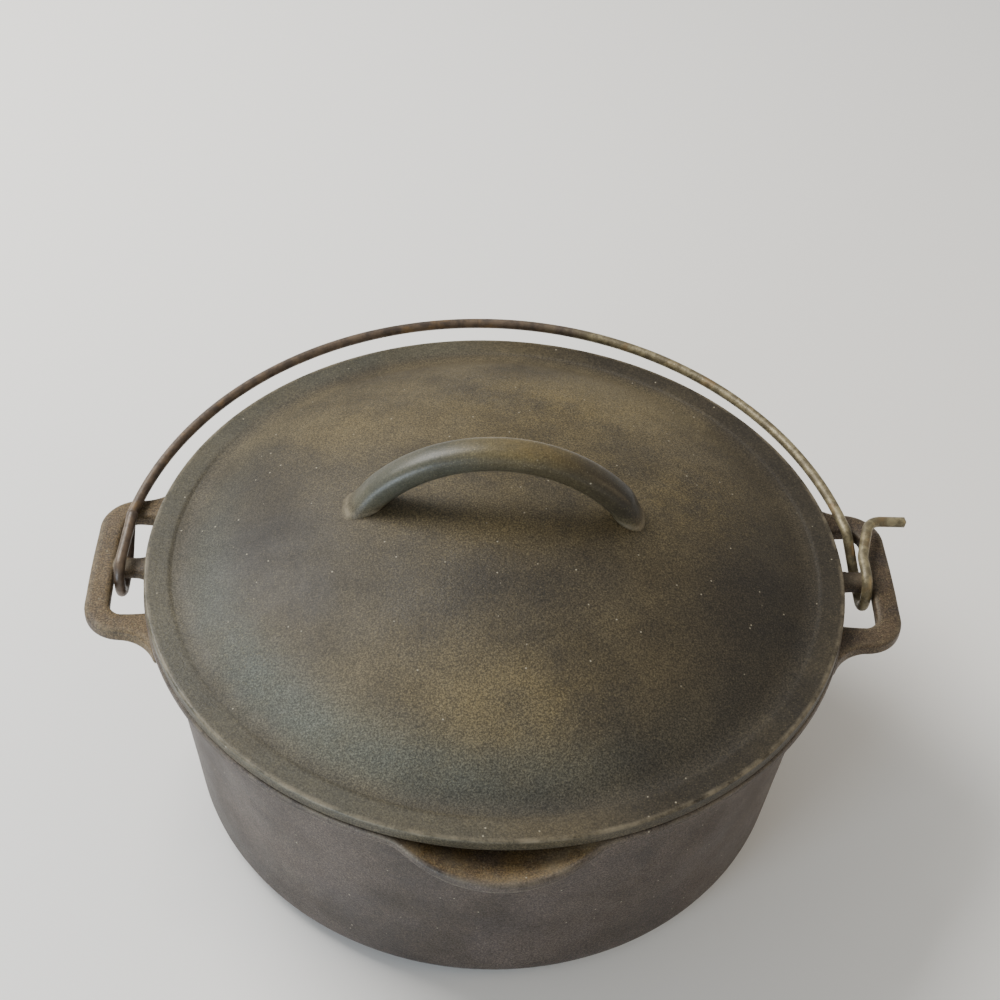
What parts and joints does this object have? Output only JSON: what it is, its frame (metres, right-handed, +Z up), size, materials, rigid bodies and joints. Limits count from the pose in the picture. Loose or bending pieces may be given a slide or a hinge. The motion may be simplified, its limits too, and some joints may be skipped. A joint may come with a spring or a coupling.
{
  "type": "cast iron dutch oven",
  "caption": "Round cast iron cooking pot with a pouring lip and two ears, a domed lid with an arched handle, and a hinged wire bail.",
  "frame": {"origin": "centre of the pot's flat bottom, on the pot's axis", "axes": "+Z up along the pot's axis, X through the two ears, -Y towards the pouring lip"},
  "size_m": [0.3258, 0.2936, 0.1695],
  "materials": {
    "pot_iron": "seasoned, fine grained, satin",
    "lid_iron": "seasoned, fine grained, satin",
    "bail_wire": "worn zinc and rust"
  },
  "bodies": {
    "pot": {"pot": "pot_iron"},
    "lid": {"lid": "lid_iron"},
    "bail": {"bail": "bail_wire"}
  },
  "joints": [
    {"name": "lid_lift", "type": "slide", "parent": "pot", "child": "lid", "axis": [0, 0, 1], "range_m": [0, 0.16]},
    {"name": "bail_swing", "type": "hinge", "parent": "pot", "child": "bail", "pos_m": [0, 0, 0.0996], "axis": [1, 0, 0], "range_deg": [0, 118]}
  ]
}
